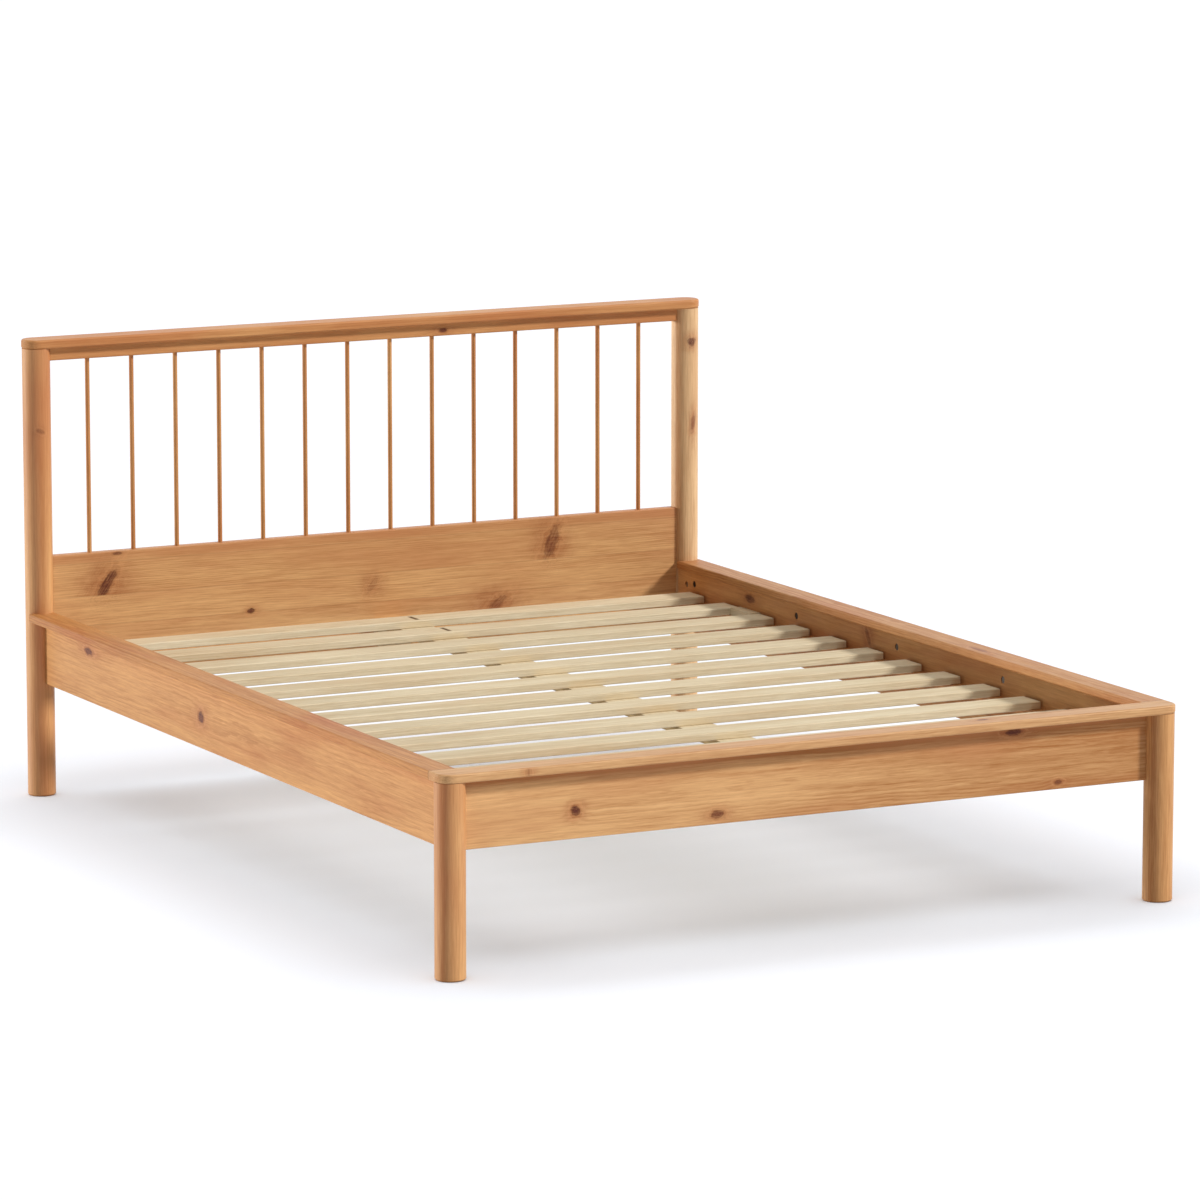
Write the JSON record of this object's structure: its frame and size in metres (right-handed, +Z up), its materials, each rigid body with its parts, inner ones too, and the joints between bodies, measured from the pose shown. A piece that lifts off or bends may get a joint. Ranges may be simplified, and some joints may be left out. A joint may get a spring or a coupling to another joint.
{
  "type": "spindle bed",
  "caption": "Low pine bed frame with round posts, flat-capped rails, a slatted base and a headboard of thin round spindles over a solid panel.",
  "frame": {"origin": "on the floor, under the middle of the bed's outer box", "axes": "+Z up, +Y from the foot towards the headboard, +X to the right of someone standing at the foot"},
  "size_m": [1.645, 2.105, 0.9995],
  "materials": {
    "frame_pine": "honey-coloured satin lacquer on solid pine",
    "slat_pine": "planed, untreated pine",
    "dowel_beech": "plain beech dowel",
    "cam_zinc": "dark zinc casting",
    "bolt_steel": "zinc-plated steel"
  },
  "bodies": {
    "root": {"head_post_left": "frame_pine", "head_post_right": "frame_pine", "head_cap": "frame_pine", "head_rail": "frame_pine", "head_panel": "frame_pine", "spindle_01": "frame_pine", "spindle_02": "frame_pine", "spindle_03": "frame_pine", "spindle_04": "frame_pine", "spindle_05": "frame_pine", "spindle_06": "frame_pine", "spindle_07": "frame_pine", "spindle_08": "frame_pine", "spindle_09": "frame_pine", "spindle_10": "frame_pine", "spindle_11": "frame_pine", "spindle_12": "frame_pine", "spindle_13": "frame_pine", "spindle_14": "frame_pine", "foot_leg_left": "frame_pine", "foot_leg_right": "frame_pine", "foot_rail": "frame_pine", "foot_cap": "frame_pine", "side_rail_left": "frame_pine", "side_rail_right": "frame_pine", "side_cap_left": "frame_pine", "side_cap_right": "frame_pine", "ledger_left": "frame_pine", "ledger_right": "frame_pine", "centre_board": "slat_pine", "centre_cleat_head": "slat_pine", "centre_cleat_foot": "slat_pine", "slat_spacer": "slat_pine", "slat_01": "slat_pine", "slat_02": "slat_pine", "slat_03": "slat_pine", "slat_04": "slat_pine", "slat_05": "slat_pine", "slat_06": "slat_pine", "slat_07": "slat_pine", "slat_08": "slat_pine", "slat_09": "slat_pine", "slat_10": "slat_pine", "slat_11": "slat_pine", "slat_12": "slat_pine", "cap_cams": "cam_zinc", "cap_studs": "bolt_steel", "rail_bolts": "bolt_steel", "cross_nuts": "bolt_steel", "cap_dowels": "dowel_beech", "slat_pins": "dowel_beech"}
  },
  "joints": []
}
